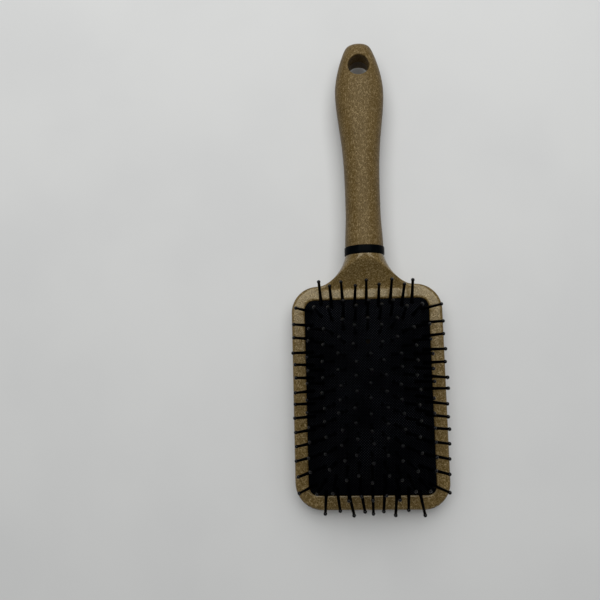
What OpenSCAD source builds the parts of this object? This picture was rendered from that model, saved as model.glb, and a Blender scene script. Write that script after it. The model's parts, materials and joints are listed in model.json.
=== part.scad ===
// Paddle brush lying on its back: pins up (+Z), handle along +Y, mirror plane at X = 0.
// The origin is the middle of its box at the level of the surface it lies on. Millimetres.

/* [Head] */
// Width of the head
head_w = 80; // [74:1:90]
// Length of the head, far end to shoulder
head_l = 117; // [105:1:130]
// Thickness of the head, back face to rim
head_t = 12.5; // [12:0.5:16]
// Radius of the head's corners in plan
head_corner_r = 14; // [10:0.5:16]
// Rounding of the rim's outer edge
rim_edge_r = 2; // [1:0.25:2.5]
// Rounding of the back's edge
back_edge_r = 4.5; // [2:0.25:5]
// Flat rim beside the cushion
rim_side = 6.85; // [6:0.05:9]
// Flat rim at the far end
rim_far = 7.5; // [6:0.1:9]
// Flat rim at the handle end
rim_near = 7.3; // [6:0.1:9]
// Wall behind the air chamber
back_wall = 4; // [3:0.25:5]
// Lip that holds the cushion down
lip_t = 1.6; // [1:0.1:2]

/* [Neck and ring] */
// Diameter of the neck at the ring
neck_d = 20.6; // [18:0.1:21]
// Length of the neck, shoulder to ring
neck_l = 15.7; // [14:0.1:24]
// Extra half width that the neck gains before it flares
neck_taper = 3.9; // [2:0.1:6]
// Height of the neck's axis above the back
neck_z = 11; // [10.8:0.1:13]
// Distance from the shoulder back to the foot of the ramp that climbs to the neck
ramp_inset = 1.5; // [1:0.1:1.9]
// Distance from the top of the ramp to the ring
ramp_top = 2.5; // [1:0.1:5]
// How much the ramp is hollowed, as a share of its rise
ramp_hollow = 0.55; // [0:0.01:0.7]
// Diameter of the ring
ring_d = 21.4; // [21.1:0.1:21.6]
// Width of the ring
ring_w = 4.6; // [3:0.1:6]
// Chamfer on the ring's edges
ring_chamfer = 0.5; // [0.2:0.1:1]
// Diameter of the tenon that joins head and handle
tenon_d = 13; // [10:0.5:14]
// Length of the tenon past the neck
tenon_l = 22; // [14:1:30]
// Clearance round the tenon
tenon_gap = 0.1; // [0.05:0.05:0.2]

/* [Handle] */
// Length of the handle
handle_l = 113.8; // [100:0.1:130]
// Diameter of the handle at the ring
grip_d = 20.4; // [18:0.1:21]
// Distance from the ring to the waist
waist_at = 20; // [16:1:35]
// Width of the waist
waist_w = 18.8; // [17:0.1:20]
// Thickness of the waist
waist_t = 17.8; // [16:0.1:20]
// Distance from the ring to the swell
swell_at = 86.2; // [75:0.1:90]
// Width of the swell
swell_w = 26.6; // [22:0.1:30]
// Thickness of the swell
swell_t = 17.8; // [14:0.1:20]
// Diameter of the hanging hole
hang_d = 11.2; // [8:0.1:12]
// Distance from the hanging hole's centre to the handle's end
hang_from_end = 14.5; // [13:0.1:18]

/* [Cushion] */
// Corner radius of the cushion
cushion_corner_r = 5.5; // [4:0.25:7]
// Height of the crown above the rim
crown_h = 10; // [7:0.25:12]
// Fullness of the crown: a larger value rises faster at the edge
crown_power = 2.6; // [2:0.1:3.2]
// Thickness of the rubber
membrane_t = 1.2; // [1:0.1:1.4]
// Width of the flange under the lip
flange_w = 1.8; // [1.2:0.1:2.4]
// Thickness of the flange
flange_t = 1.6; // [1.2:0.1:2]
// Clearance between the rubber and the head
cushion_gap = 0.2; // [0.1:0.05:0.3]
// Diameter of the air vent
vent_d = 2.4; // [1.6:0.1:3]

/* [Pins] */
// Length from the rubber to the centre of the ball tip
pin_l = 16.5; // [13:0.25:17.5]
// Diameter of a pin's shaft at its ball tip
shaft_d = 1.4; // [1:0.05:1.6]
// Diameter of a pin's shaft above its base
root_d = 1.7; // [1.6:0.05:2]
// Diameter of a pin's flared base
base_d = 2.2; // [2.1:0.05:2.6]
// Height of the flared base
base_h = 3.5; // [2:0.25:5]
// Diameter of a ball tip
ball_d = 1.95; // [1.6:0.05:2.4]
// Diameter of the plug that passes through the rubber
plug_d = 1.3; // [1:0.05:1.4]
// Diameter of the head that holds a pin behind the rubber
stop_d = 2.8; // [2.2:0.1:3.2]
// Thickness of that head
stop_t = 0.8; // [0.5:0.1:1]
// Clearance between a pin and the rubber
pin_gap = 0.3; // [0.25:0.05:0.35]
// Distance from the cushion's side to the outer column of pins
side_margin = 4.4; // [4:0.1:6]
// Distance from the cushion's end to the outer row of pins
end_margin = 2.85; // [2.6:0.05:5]

/* [Hidden] */
$fn = 48;

// Pins stand in 11 columns; the 15 rows of one column sit half a row apart from the 14 of the next.
columns = 11;
rows = 15;
last_column = (columns - 1) / 2;
vent_index = 3;
// How much the columns and the rows draw together towards the edges
column_gather = 0.082;
row_gather = 0.03;
// In the side columns the rows draw to the middle instead, and the other columns of 14 spread by a share.
side_gather = -0.05;
short_spread = 0.04;
// Turn of the end rows' pins towards the handle, in degrees
end_lean = 5;

// Rings of pins from the cushion's edge to its crown, and the straight sides of a ring
RINGS = ["edge", "second", "third", "fourth", "fifth"];
SIDES = ["left", "right", "handle_end", "far_end"];
crown_ring = len(RINGS);

total_l = head_l + neck_l + ring_w + handle_l;
far_y = -total_l / 2;
shoulder_y = far_y + head_l;
neck_y = shoulder_y + neck_l;
grip_y = neck_y + ring_w;
hang_y = grip_y + handle_l - hang_from_end;
cushion_w = head_w - 2 * rim_side;
cushion_l = head_l - rim_far - rim_near;
cushion_y = far_y + rim_far + cushion_l / 2;
half_w = cushion_w / 2;
half_l = cushion_l / 2;

// Facets of the neck, the handle and the cushion
section_points = 32;
neck_steps = 12;
grip_steps = 24;
tip_steps = 12;
corner_points = 5;
long_points = 9;
short_points = 7;

straw = [0.56, 0.47, 0.33];
straw_dark = [0.46, 0.38, 0.26];
black_gloss = [0.05, 0.05, 0.05];
black_rubber = [0.09, 0.09, 0.1];
black_nylon = [0.03, 0.03, 0.03];

function ease(s) = (1 - cos(180 * s)) / 2;
function mix(a, b, s) = a + (b - a) * s;

// Skin over a list of point rings of equal length, closed by a flat cap at each end.
module skin(rings) {
    n = len(rings[0]);
    last = (len(rings) - 1) * n;
    walls = [for (r = [0:len(rings) - 2], i = [0:n - 1])
        let (a = r * n + i, b = r * n + (i + 1) % n)
        each [[a, b, b + n], [a, b + n, a + n]]];
    caps = [[for (i = [n - 1:-1:0]) i], [for (i = [0:n - 1]) last + i]];
    polyhedron(points = [for (r = rings) each r], faces = concat(walls, caps), convexity = 6);
}

// Skin over a list of point rings, closed by one point before the first ring and one after the last.
module domed_skin(top, rings, bottom) {
    n = len(rings[0]);
    count = len(rings) * n;
    walls = [for (r = [0:len(rings) - 2], i = [0:n - 1])
        let (a = r * n + i, b = r * n + (i + 1) % n)
        each [[a, b, b + n], [a, b + n, a + n]]];
    upper = [for (i = [0:n - 1]) [(i + 1) % n, i, count]];
    lower = [for (i = [0:n - 1]) [count - n + i, count - n + (i + 1) % n, count + 1]];
    points = concat([for (r = rings) each r], [top, bottom]);
    polyhedron(points = points, faces = concat(walls, upper, lower), convexity = 6);
}

// Rectangle with round corners, centred.
module round_rectangle(w, l, r) {
    square([w - 2 * r, l], center = true);
    square([w, l - 2 * r], center = true);
    for (x = [-1, 1], y = [-1, 1])
        translate([x * (w / 2 - r), y * (l / 2 - r)])
            circle(r);
}

// Cross-section of the head plate: flat rim and back, each with its own edge rounding.
module plate_section(w) {
    translate([-w / 2, back_edge_r])
        square([w, head_t - back_edge_r - rim_edge_r]);
    translate([-w / 2 + back_edge_r, 0])
        square([w - 2 * back_edge_r, head_t / 2]);
    translate([-w / 2 + rim_edge_r, head_t / 2])
        square([w - 2 * rim_edge_r, head_t / 2]);
    for (x = [-1, 1]) {
        translate([x * (w / 2 - back_edge_r), back_edge_r])
            circle(back_edge_r);
        translate([x * (w / 2 - rim_edge_r), head_t - rim_edge_r])
            circle(rim_edge_r);
    }
}

// Head plate: two crossing bars and a turned corner at each end of them.
module plate() {
    translate([0, far_y + head_l / 2, 0]) {
        rotate([90, 0, 0])
            linear_extrude(head_l - 2 * head_corner_r, center = true)
                plate_section(head_w);
        rotate([90, 0, 90])
            linear_extrude(head_w - 2 * head_corner_r, center = true)
                plate_section(head_l);
        for (x = [-1, 1], y = [-1, 1])
            translate([x * (head_w / 2 - head_corner_r), y * (head_l / 2 - head_corner_r), 0])
                rotate_extrude()
                    intersection() {
                        plate_section(2 * head_corner_r);
                        square([head_corner_r, head_t]);
                    }
    }
}

// The neck's round section grows wide into the head, and a ramp cuts its top down to the rim.
// It starts a little way inside the head.
neck_root = 5;
neck_sunk = 0.1;
neck_r = neck_d / 2;
shoulder_half_w = head_w / 2 - head_corner_r;
neck_flare = shoulder_half_w - neck_r - neck_taper;
ramp_foot_z = head_t - rim_edge_r + sqrt(pow(rim_edge_r, 2) - pow(rim_edge_r - ramp_inset, 2));
ramp_rise = neck_z + neck_r - ramp_foot_z;
ramp_l = neck_l + ramp_inset - ramp_top;

function neck_half_w(y) =
    let (t = min(1, (neck_y - y) / neck_l))
    neck_r + neck_taper * t + neck_flare * (1 - sqrt(1 - t * t));

// Share of the ramp that is still to climb, from 1 at its foot to 0 at its top.
function ramp_left(y) = 1 - (y - shoulder_y + ramp_inset) / ramp_l;

// Share of the rise that the hollowed ramp lies below its top.
function ramp_drop(left) = left * (1 + ramp_hollow * (1 - left));

// Share of the neck's width that the ramp keeps flat: a round arch that closes at the ramp's top.
function ramp_arch(drop) = sqrt(1 - pow(1 - min(1, drop), 2));

// Flat top and back joined by quarter ellipses, in the plane of one Y.
function neck_section(y) =
    let (
        s = min(1, max(0, (y - shoulder_y + neck_root) / (neck_l + neck_root))),
        drop = ramp_drop(max(0, ramp_left(y))),
        half = neck_half_w(y),
        top = neck_z + neck_r - ramp_rise * drop,
        low = mix(neck_sunk, neck_z - neck_r, ease(s)),
        flat = (half - rim_edge_r) * ramp_arch(drop),
        upper = [half - flat, mix(neck_r, rim_edge_r, min(1, drop))],
        lower = [mix(back_edge_r, half, s), mix(back_edge_r, neck_r, s)],
        quarter = section_points / 4
    )
    [for (q = [0:3], i = [0:quarter - 1])
        let (
            a = 90 * q + 90 * i / (quarter - 1 + s),
            sx = q == 0 || q == 3 ? 1 : -1,
            r = q < 2 ? upper : lower,
            mid = q < 2 ? top - upper.y : low + lower.y
        )
        [sx * (half - r.x) + r.x * cos(a), y, mid + r.y * sin(a)]];

module neck() {
    start = neck_section(shoulder_y - neck_root);
    flare = [for (i = [0:neck_steps]) neck_section(neck_y - neck_l * cos(90 * i / neck_steps))];
    skin(concat([start], flare));
}

// Air chamber with the seat and groove that hold the cushion's flange.
module pocket() {
    over = 1;
    groove_z = head_t - lip_t - flange_t - 2 * cushion_gap;
    reach = 2 * (flange_w + cushion_gap);
    shelf = 2 * membrane_t;
    translate([0, cushion_y, 0]) {
        translate([0, 0, head_t - lip_t - over])
            linear_extrude(lip_t + over + head_t)
                round_rectangle(cushion_w, cushion_l, cushion_corner_r);
        translate([0, 0, groove_z])
            linear_extrude(flange_t + 2 * cushion_gap)
                round_rectangle(cushion_w + reach, cushion_l + reach, cushion_corner_r + reach / 2);
        translate([0, 0, back_wall])
            linear_extrude(groove_z - back_wall + over)
                round_rectangle(cushion_w - shelf, cushion_l - shelf, cushion_corner_r - shelf / 2);
    }
}

module paddle_head() {
    color(straw)
        difference() {
            union() {
                plate();
                neck();
                translate([0, neck_y - neck_l / 4, neck_z])
                    rotate([-90, 0, 0])
                        cylinder(d = tenon_d, h = neck_l / 4 + tenon_l);
            }
            pocket();
        }
}

module neck_ring() {
    bore = tenon_d / 2 + tenon_gap;
    rim = ring_d / 2;
    color(black_gloss)
        translate([0, neck_y, neck_z])
            rotate([-90, 0, 0])
                rotate_extrude()
                    polygon([
                        [bore, 0],
                        [rim - ring_chamfer, 0],
                        [rim, ring_chamfer],
                        [rim, ring_w - ring_chamfer],
                        [rim - ring_chamfer, ring_w],
                        [bore, ring_w]
                    ]);
}

// Half width and half thickness of the handle, at a distance along it from the ring.
// Past the swell the tip draws in and ends blunt: share drawn in, then how late and how square it ends.
swell_ease = 1.75;
tip_ease = 1.8;
tip_plan = [0.53, 28, 4];
tip_side = [0.12, 6, 3];
function tip_size(s, tip) = (1 - tip[0] * pow(s, tip_ease)) * pow(1 - pow(s, tip[1]), 1 / tip[2]);
function grip_size(v, grip, waist, swell, tip) =
    v < waist_at ? mix(grip, waist, ease(v / waist_at)) :
    v < swell_at ? mix(waist, swell, ease(pow((v - waist_at) / (swell_at - waist_at), swell_ease))) :
    swell * tip_size((v - swell_at) / (handle_l - swell_at), tip);

function grip_section(v) =
    let (
        half = grip_size(v, grip_d, waist_w, swell_w, tip_plan) / 2,
        high = grip_size(v, grip_d, waist_t, swell_t, tip_side) / 2
    )
    [for (i = [0:section_points - 1])
        let (a = 360 * i / section_points)
        [half * cos(a), grip_y + v, neck_z + high * sin(a)]];

module handle() {
    last_turn = 88;
    shaft = [for (i = [0:grip_steps - 1]) grip_section(swell_at * i / grip_steps)];
    tip = [for (i = [0:tip_steps])
        grip_section(mix(swell_at, handle_l, sin(last_turn * i / tip_steps)))];
    socket_l = tenon_l - ring_w + 5 * tenon_gap;
    color(straw_dark)
        difference() {
            skin(concat(shaft, tip));
            translate([0, grip_y - socket_l, neck_z])
                rotate([-90, 0, 0])
                    cylinder(d = tenon_d + 2 * tenon_gap, h = 2 * socket_l);
            translate([0, hang_y, 0])
                cylinder(d = hang_d, h = 3 * neck_z);
        }
}

// Crown of the cushion: it rises from every edge and flattens towards the middle.
mitre = 4;
function edge_distance(x, y) =
    let (dx = max(0.01, half_w - abs(x)), dy = max(0.01, half_l - abs(y)))
    pow(pow(dx, -mitre) + pow(dy, -mitre), -1 / mitre);
function crown(x, y) = crown_h * (1 - pow(1 - min(1, edge_distance(x, y) / half_w), crown_power));
function crown_normal(x, y) =
    let (
        e = 0.01,
        dx = crown(x + e, y) - crown(x - e, y),
        dy = crown(x, y + e) - crown(x, y - e),
        n = [-dx, -dy, 2 * e]
    )
    n / norm(n);

// Outline of the cushion, moved outwards by a distance, as points that turn with the angle.
function side_points(a, b, count) = [for (i = [1:count]) mix(a, b, i / (count + 1))];
function cushion_outline(out) =
    let (
        r = cushion_corner_r + out,
        cx = half_w - cushion_corner_r,
        cy = half_l - cushion_corner_r,
        arc = function (x, y, from)
            [for (i = [0:corner_points - 1])
                let (a = from + 90 * i / (corner_points - 1))
                [x + r * cos(a), y + r * sin(a)]]
    )
    concat(
        arc(cx, cy, 0), side_points([cx, cy + r], [-cx, cy + r], short_points),
        arc(-cx, cy, 90), side_points([-cx - r, cy], [-cx - r, -cy], long_points),
        arc(-cx, -cy, 180), side_points([-cx, -cy - r], [cx, -cy - r], short_points),
        arc(cx, -cy, 270), side_points([cx + r, -cy], [cx + r, cy], long_points)
    );

crown_steps = [0.2, 0.4, 0.58, 0.72, 0.83, 0.91, 0.96, 1];
function outer_point(p) = [p.x, p.y, crown(p.x, p.y)];
function inner_point(p) = outer_point(p) - membrane_t * crown_normal(p.x, p.y);
function level(out, z) = [for (p = cushion_outline(out)) [p.x, p.y, z]];

module membrane() {
    rim_line = cushion_outline(-cushion_gap);
    outer = [for (s = crown_steps) [for (p = rim_line) outer_point(s * p)]];
    inner = [for (i = [len(crown_steps) - 1:-1:0]) [for (p = rim_line) inner_point(crown_steps[i] * p)]];
    top = -lip_t - cushion_gap;
    flange = [
        level(-cushion_gap, top),
        level(flange_w, top),
        level(flange_w, top - flange_t),
        level(-membrane_t - cushion_gap, top - flange_t)
    ];
    domed_skin(outer_point([0, 0]), concat(outer, flange, inner), inner_point([0, 0]));
}

// Place of a pin in the cushion's own plane, by column and row.
function gather(t, g) = t * (1 - g * t * t) / (1 - g);
function column_rows(k) = rows - abs(k) % 2;
function is_side(k) = abs(k) == last_column;
function row_spread(k) = is_side(k) || abs(k) % 2 == 0 ? 1 : 1 + short_spread;
function pin_place(k, j) =
    let (t = row_spread(k) * (column_rows(k) - 1 - 2 * j) / (rows - 1))
    [(half_w - side_margin) * gather(k / last_column, column_gather),
     (half_l - end_margin) * gather(t, is_side(k) ? side_gather : row_gather)];

function pin_ring(k, j) = min(last_column - abs(k), j, column_rows(k) - 1 - j);
function pin_side(k, j) =
    let (ring = pin_ring(k, j))
    ring == crown_ring ? "" :
    ring == last_column - abs(k) ? (k < 0 ? SIDES[0] : SIDES[1]) :
    ring == j ? SIDES[2] : SIDES[3];
function is_vent(k, j) = k == 0 && j == vent_index;
function pin_lean(k, j) = pin_ring(k, j) == 0 && !is_side(k) ? end_lean : 0;

// Moves what follows to a pin's foot on the rubber, with +Z along the pin.
module at_pin(k, j) {
    p = pin_place(k, j);
    n = crown_normal(p.x, p.y);
    translate([p.x, p.y + cushion_y, head_t + crown(p.x, p.y)])
        rotate([-pin_lean(k, j), 0, 0])
            rotate([0, acos(n.z), atan2(n.y, n.x)])
                children();
}

module pin() {
    stop_z = -membrane_t - pin_gap;
    rotate_extrude()
        polygon([
            [0, stop_z - stop_t],
            [stop_d / 2, stop_z - stop_t],
            [stop_d / 2, stop_z],
            [plug_d / 2, stop_z],
            [plug_d / 2, pin_gap],
            [base_d / 2, pin_gap],
            [root_d / 2, base_h],
            [shaft_d / 2, pin_l],
            [0, pin_l]
        ]);
    translate([0, 0, pin_l])
        sphere(d = ball_d);
}

module cushion() {
    depth = 3 * membrane_t;
    pin_hole_d = plug_d + 2 * pin_gap;
    color(black_rubber)
        difference() {
            translate([0, cushion_y, head_t])
                membrane();
            for (k = [-last_column:last_column], j = [0:column_rows(k) - 1])
                at_pin(k, j)
                    cylinder(d = is_vent(k, j) ? vent_d : pin_hole_d, h = 2 * depth, center = true);
        }
}

module pins(ring, side) {
    color(black_nylon)
        for (k = [-last_column:last_column], j = [0:column_rows(k) - 1])
            if (pin_ring(k, j) == ring && pin_side(k, j) == side && !is_vent(k, j))
                at_pin(k, j)
                    pin();
}

paddle_head();
neck_ring();
handle();
cushion();
for (r = [0:len(RINGS) - 1], s = SIDES)
    pins(r, s);
pins(crown_ring, "");  // pins_crown
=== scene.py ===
"""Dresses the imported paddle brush: straw plastic, a gloss ring, a rubber cushion and nylon pins.

Forms are worked out in millimetres and become metres when a mesh is made.
"""

import json
import logging
import math
import random
from collections.abc import Iterator, Sequence
from dataclasses import dataclass, field
from enum import Enum

import bmesh
import bpy
import numpy as np
from mathutils import Euler, Matrix, Vector


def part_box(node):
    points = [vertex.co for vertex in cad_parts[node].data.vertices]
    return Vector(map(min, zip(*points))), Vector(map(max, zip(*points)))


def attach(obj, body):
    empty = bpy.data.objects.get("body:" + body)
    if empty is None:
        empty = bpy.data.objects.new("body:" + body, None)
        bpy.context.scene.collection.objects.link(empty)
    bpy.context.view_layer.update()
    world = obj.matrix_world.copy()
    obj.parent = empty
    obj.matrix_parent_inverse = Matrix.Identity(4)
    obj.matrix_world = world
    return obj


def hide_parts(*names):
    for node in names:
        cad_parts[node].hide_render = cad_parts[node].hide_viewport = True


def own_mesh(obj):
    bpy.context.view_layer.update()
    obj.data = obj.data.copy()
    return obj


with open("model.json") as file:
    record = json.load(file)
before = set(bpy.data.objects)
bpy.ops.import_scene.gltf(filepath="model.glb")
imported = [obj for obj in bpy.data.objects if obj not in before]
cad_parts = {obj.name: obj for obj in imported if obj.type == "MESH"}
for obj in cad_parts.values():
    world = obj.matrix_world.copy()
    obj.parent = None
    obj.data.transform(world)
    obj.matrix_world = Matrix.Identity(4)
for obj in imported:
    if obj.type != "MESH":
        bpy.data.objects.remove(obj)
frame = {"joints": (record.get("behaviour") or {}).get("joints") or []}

LOG = logging.getLogger("paddle_brush")
MM = 0.001
RIM_Z = 12.5
QUARTER_TURN = math.pi / 2
ROUND_POWER = 2.0
SHARP_DEGREES = 40.0
WELD_M = 1e-6
LEAST_STEP = 1e-6
Pair = tuple[float, float]
Triple = tuple[float, float, float]
Colour = tuple[float, float, float, float]
Array = np.ndarray
Heights = float | Array
Piece = bpy.types.Object
Material = bpy.types.Material


class Body(Enum):
    """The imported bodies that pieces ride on."""

    PADDLE = "paddle"
    EDGE = "edge_pins"
    SECOND = "second_pins"
    THIRD = "third_pins"
    FOURTH = "fourth_pins"
    FIFTH = "fifth_pins"
    CROWN = "crown_pins"


class Slot(Enum):
    """The record's material slots."""

    HEAD = "straw_head"
    HANDLE = "straw_handle"
    RING = "ring"
    RUBBER = "rubber"
    NYLON = "nylon"


class Side(Enum):
    """The straight sides of a ring of pins."""

    LEFT = "left"
    RIGHT = "right"
    HANDLE_END = "handle_end"
    FAR_END = "far_end"


PIN_RINGS = (Body.EDGE, Body.SECOND, Body.THIRD, Body.FOURTH, Body.FIFTH)


def box_mm(node: str) -> tuple[Array, Array]:
    """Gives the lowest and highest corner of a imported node's box in millimetres."""
    low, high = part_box(node)
    return np.array(low) / MM, np.array(high) / MM


def mix(a: Heights, b: Heights, share: float) -> Heights:
    """Goes from a to b by a share."""
    return a + (b - a) * share


def clamp(share: float) -> float:
    """Keeps a share between 0 and 1."""
    return min(1.0, max(0.0, share))


def ease(share: float) -> float:
    """Turns a share from 0 to 1 into one that starts and ends gently."""
    return (1 - math.cos(math.pi * share)) / 2


def soft_min(a: Heights, b: float, width: float) -> Heights:
    """Gives the lower of two values, with the corner between them rounded over a width."""
    return (a + b - np.hypot(a - b, width)) / 2


def soft_max(a: float, b: float, width: float) -> float:
    """Gives the higher of two values, with the corner between them rounded over a width."""
    return max(a, b) + max(0.0, width - abs(a - b)) ** 2 / (4 * width)


def rounding(d: Array, width: float, power: float = ROUND_POWER) -> Array:
    """Gives the share of its height that a rounded edge has reached at distances in from it."""
    return (1 - (1 - np.minimum(d, width) / width) ** power) ** (1 / power)


def slow_start(steps: int) -> Array:
    """Gives shares from 0 to 1 that lie closest together at the start, as round an arc."""
    return 1 - np.cos(np.linspace(0, QUARTER_TURN, steps))


def round_edge(r: float, steps: int) -> Array:
    """Draws a rounded edge as rows of the run from one face and the fall from the other."""
    run = r * slow_start(steps)
    return np.column_stack((run, run[::-1]))


def spread(line: Array, count: int) -> Array:
    """Picks points along a flat line, closest together where it turns.

    Args:
        line: Close points of the line.
        count: How many points to pick.

    Returns:
        The picked points, from the line's start to its end.
    """
    step = np.diff(line, axis=0)
    moved = np.hypot(*step.T) > LEAST_STEP
    line = line[np.concatenate(((True,), moved))]
    step = step[moved]
    run = np.concatenate(((0.0,), np.cumsum(np.hypot(*step.T))))
    heading = np.unwrap(np.arctan2(step[:, 1], step[:, 0]))
    bend = np.concatenate(((0.0, 0.0), np.cumsum(np.abs(np.diff(heading)))))
    pace = run / run[-1] + bend / bend[-1]
    even = np.linspace(0, pace[-1], count)
    return np.column_stack([np.interp(even, pace, along) for along in line.T])


def mesh_data(mesh: bmesh.types.BMesh, name: str) -> bpy.types.Mesh:
    """Turns a bmesh into a smooth mesh with its faces outwards.

    Args:
        mesh: The bmesh, which is freed.
        name: Name of the mesh.

    Returns:
        The new mesh.
    """
    bmesh.ops.recalc_face_normals(mesh, faces=mesh.faces[:])
    for face in mesh.faces:
        face.smooth = True
    data = bpy.data.meshes.new(name)
    mesh.to_mesh(data)
    mesh.free()
    return data


def link(name: str, data: bpy.types.ID) -> Piece:
    """Puts a new object with its data in the scene.

    Args:
        name: Name of the object.
        data: Its mesh, light or camera.

    Returns:
        The new object, at the origin.
    """
    made = bpy.data.objects.new(name, data)
    bpy.context.scene.collection.objects.link(made)
    return made


def finish_mesh(mesh: bmesh.types.BMesh, name: str) -> Piece:
    """Turns a bmesh, which is freed, into an object at the origin."""
    return link(name, mesh_data(mesh, name))


def loft(rings: Sequence[Array], name: str) -> Piece:
    """Skins a row of rings and closes both ends.

    Args:
        rings: Points of each ring in millimetres, as many in each and in the same order.
        name: Name of the object.

    Returns:
        The new object, at the origin.
    """
    mesh = bmesh.new()
    made = bmesh.ops.create_circle(mesh, cap_ends=True, segments=len(rings[0]), radius=1.0)
    ring = list(made["verts"])

    def edges() -> list[bmesh.types.BMEdge]:
        """Gives the edges of the newest ring."""
        return [mesh.edges.get(pair) for pair in zip(ring, ring[1:] + ring[:1])]

    for number, points in enumerate(rings):
        if number:
            made = bmesh.ops.extrude_edge_only(mesh, edges=edges())
            fresh = {item for item in made["geom"] if isinstance(item, bmesh.types.BMVert)}
            ends = [[edge.other_vert(vert) for edge in vert.link_edges] for vert in ring]
            ring = [next(end for end in near if end in fresh) for near in ends]
        for vert, point in zip(ring, points):
            vert.co = Vector(point) * MM
    bmesh.ops.contextual_create(mesh, geom=edges())
    return finish_mesh(mesh, name)


def spun(
    profile: Sequence[Vector], centre: Vector, axis: Sequence[float], steps: int, looped: bool
) -> bmesh.types.BMesh:
    """Turns a profile right round an axis.

    Args:
        profile: Points of the profile in millimetres.
        centre: A point on the axis in millimetres.
        axis: Direction of the axis.
        steps: Steps in the turn.
        looped: Whether the profile runs back to its first point.

    Returns:
        The turned shape, with its doubles merged.
    """
    mesh = bmesh.new()
    verts = [mesh.verts.new(point * MM) for point in profile]
    following = verts[1:] + (verts[:1] if looped else [])
    edges = [mesh.edges.new(pair) for pair in zip(verts, following)]
    bmesh.ops.spin(
        mesh, geom=verts + edges, cent=centre * MM, axis=axis,
        angle=math.tau, steps=steps, use_merge=True,
    )
    bmesh.ops.remove_doubles(mesh, verts=mesh.verts[:], dist=WELD_M)
    return mesh


def cut(piece: Piece, cutter: Piece) -> None:
    """Takes a cutter's shape out of a piece and removes the cutter.

    Args:
        piece: The object to cut.
        cutter: The closed shape to take away.
    """
    tool = piece.modifiers.new("cut", "BOOLEAN")
    tool.operation = "DIFFERENCE"
    tool.solver = "EXACT"
    tool.object = cutter
    graph = bpy.context.evaluated_depsgraph_get()
    result = bpy.data.meshes.new_from_object(piece.evaluated_get(graph))
    piece.modifiers.clear()
    before = piece.data
    piece.data = result
    result.name = piece.name
    bpy.data.meshes.remove(before)
    bpy.data.objects.remove(cutter)


def crease(piece: Piece, degrees: float = SHARP_DEGREES) -> Piece:
    """Shades a piece smooth, apart from edges sharper than an angle, and gives it back."""
    piece.data.set_sharp_from_angle(angle=math.radians(degrees))
    return piece


def dress(piece: Piece, material: Material, slot: Slot, body: Body, *nodes: str) -> None:
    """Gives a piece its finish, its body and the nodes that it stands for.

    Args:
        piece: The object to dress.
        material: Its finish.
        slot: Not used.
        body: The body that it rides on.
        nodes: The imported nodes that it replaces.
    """
    piece.data.materials.clear()
    piece.data.materials.append(material)
    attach(piece, body.value)
    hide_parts(*nodes)
    LOG.info("%s: %d faces on %s", piece.name, len(piece.data.polygons), body.value)


class Wire:
    """A shader value that takes part in Python arithmetic."""

    def __init__(self, recipe: "Recipe", socket: bpy.types.NodeSocket) -> None:
        """Wraps an output socket of a recipe's node."""
        self.recipe = recipe
        self.socket = socket

    def math(self, operation: str, first: "Value", second: "Value") -> "Wire":
        """Adds a Math node of an operation and gives its result."""
        return self.recipe.wire("ShaderNodeMath", {"operation": operation}, {0: first, 1: second})

    def __add__(self, other: "Value") -> "Wire":
        """Adds a value."""
        return self.math("ADD", self, other)

    __radd__ = __add__

    def __sub__(self, other: "Value") -> "Wire":
        """Takes a value away."""
        return self.math("SUBTRACT", self, other)

    def __rsub__(self, other: "Value") -> "Wire":
        """Takes this value away from another."""
        return self.math("SUBTRACT", other, self)

    def __mul__(self, other: "Value") -> "Wire":
        """Multiplies by a value."""
        return self.math("MULTIPLY", self, other)

    __rmul__ = __mul__

    def higher(self, other: "Value") -> "Wire":
        """Gives the higher of two values."""
        return self.math("MAXIMUM", self, other)

    def fade(self, start: float, end: float) -> "Wire":
        """Goes smoothly from 0, where this value is start, to 1, where it is end."""
        sockets = {"Value": self, 1: start, 2: end}
        return self.recipe.wire("ShaderNodeMapRange", {"interpolation_type": "SMOOTHSTEP"}, sockets)


Value = Wire | float


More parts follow.
